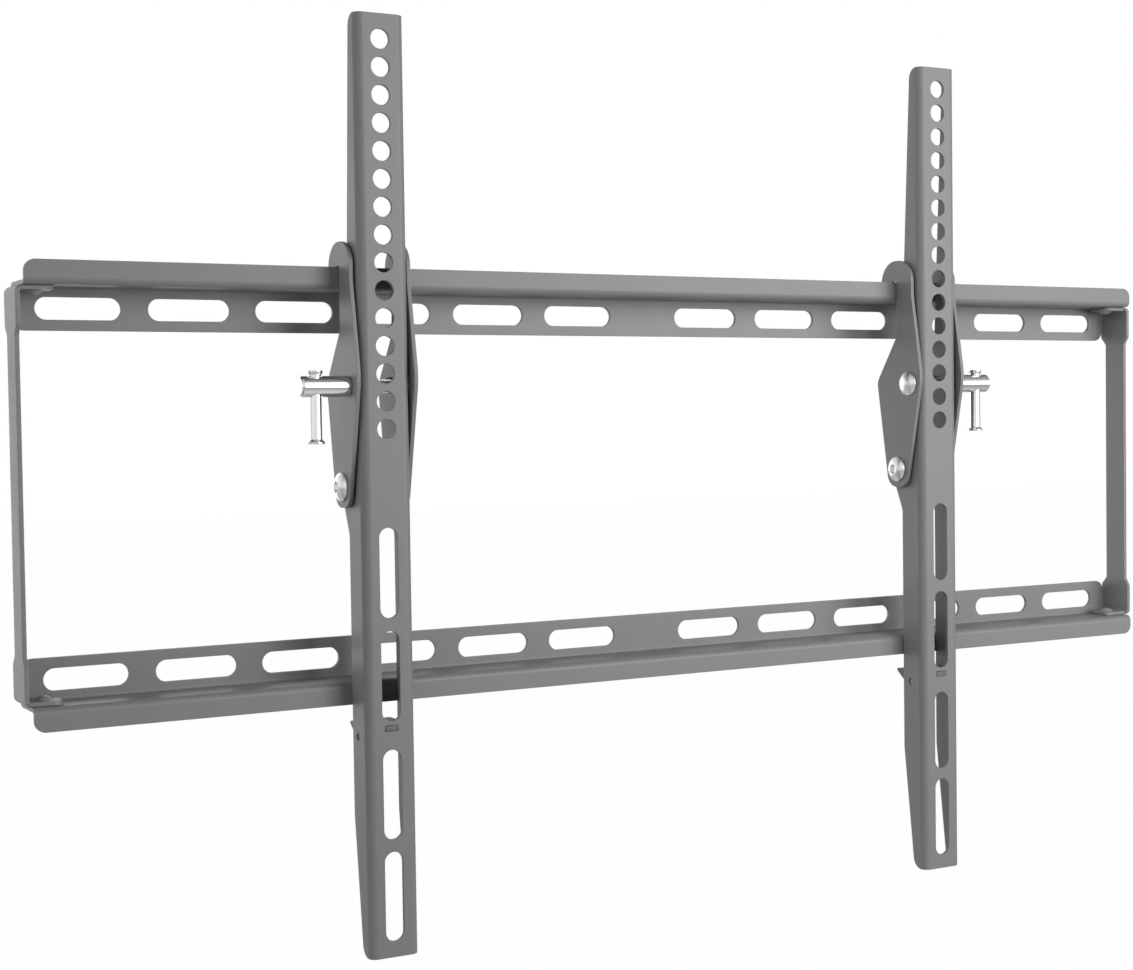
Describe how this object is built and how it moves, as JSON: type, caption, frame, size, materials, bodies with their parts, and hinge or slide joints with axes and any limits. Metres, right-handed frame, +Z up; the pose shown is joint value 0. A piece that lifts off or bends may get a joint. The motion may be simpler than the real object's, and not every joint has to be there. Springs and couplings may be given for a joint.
{
  "type": "tilting tv wall bracket",
  "caption": "Wall frame of two slotted folded rails tied by side plates, with hooked channel arms that hang on the rails, carry a flat screen and tilt it forward with hand clamps.",
  "frame": {"origin": "on the wall plane, at the centre of the wall slots of the frame", "axes": "+X to the viewer's right along the rails, +Y into the wall, +Z up; the front is -Y"},
  "size_m": [0.639, 0.0439, 0.427],
  "materials": {
    "frame_coat": "satin powder coat",
    "arm_coat": "satin powder coat",
    "hook_coat": "satin powder coat",
    "lock_coat": "satin powder coat",
    "rivet_coat": "satin powder coat",
    "bright_zinc": "bright plated steel",
    "nylon": "matt"
  },
  "bodies": {
    "wall_frame": {"upper_rail": "frame_coat", "lower_rail": "frame_coat", "left_side_plate": "frame_coat", "right_side_plate": "frame_coat", "upper_left_rivet": "rivet_coat", "lower_left_rivet": "rivet_coat", "upper_right_rivet": "rivet_coat", "lower_right_rivet": "rivet_coat"},
    "left_hook": {"left_outer_hook_plate": "hook_coat", "left_inner_hook_plate": "hook_coat", "left_outer_spacer": "nylon", "left_inner_spacer": "nylon", "left_pivot_bolt": "bright_zinc", "left_pivot_nut": "bright_zinc", "left_tilt_bolt": "bright_zinc"},
    "left_screen_arm": {"left_arm": "arm_coat", "left_lock_plate": "lock_coat", "left_lock_pin": "bright_zinc"},
    "left_handle": {"left_tilt_handle": "bright_zinc"},
    "left_bar": {"left_handle_bar": "bright_zinc"},
    "right_hook": {"right_outer_hook_plate": "hook_coat", "right_inner_hook_plate": "hook_coat", "right_outer_spacer": "nylon", "right_inner_spacer": "nylon", "right_pivot_bolt": "bright_zinc", "right_pivot_nut": "bright_zinc", "right_tilt_bolt": "bright_zinc"},
    "right_screen_arm": {"right_arm": "arm_coat", "right_lock_plate": "lock_coat", "right_lock_pin": "bright_zinc"},
    "right_handle": {"right_tilt_handle": "bright_zinc"},
    "right_bar": {"right_handle_bar": "bright_zinc"}
  },
  "joints": [
    {"name": "left_hook_swing", "type": "hinge", "parent": "wall_frame", "child": "left_hook", "pos_m": [-0.1602, -0.0235, 0.1], "axis": [1, 0, 0], "range_deg": [-8, 0]},
    {"name": "left_arm_tilt", "type": "hinge", "parent": "left_hook", "child": "left_screen_arm", "pos_m": [-0.1602, -0.0246, 0], "axis": [1, 0, 0], "range_deg": [0, 15.8]},
    {"name": "left_handle_turn", "type": "hinge", "parent": "left_hook", "child": "left_handle", "pos_m": [-0.1602, -0.034, 0.0456], "axis": [1, 0, 0], "continuous": true},
    {"name": "left_bar_slide", "type": "slide", "parent": "left_handle", "child": "left_bar", "axis": [0, 0, 1], "range_m": [0, 0.0184]},
    {"name": "right_hook_swing", "type": "hinge", "parent": "wall_frame", "child": "right_hook", "pos_m": [0.1602, -0.0235, 0.1], "axis": [1, 0, 0], "range_deg": [-8, 0]},
    {"name": "right_arm_tilt", "type": "hinge", "parent": "right_hook", "child": "right_screen_arm", "pos_m": [0.1602, -0.0246, 0], "axis": [1, 0, 0], "range_deg": [0, 15.8]},
    {"name": "right_handle_turn", "type": "hinge", "parent": "right_hook", "child": "right_handle", "pos_m": [0.1602, -0.034, 0.0456], "axis": [1, 0, 0], "continuous": true},
    {"name": "right_bar_slide", "type": "slide", "parent": "right_handle", "child": "right_bar", "axis": [0, 0, 1], "range_m": [0, 0.0184]}
  ],
  "couplings": [
    {"joint": "left_arm_tilt", "follows": "left_hook_swing", "ratio": -1.97},
    {"joint": "right_arm_tilt", "follows": "right_hook_swing", "ratio": -1.97}
  ]
}
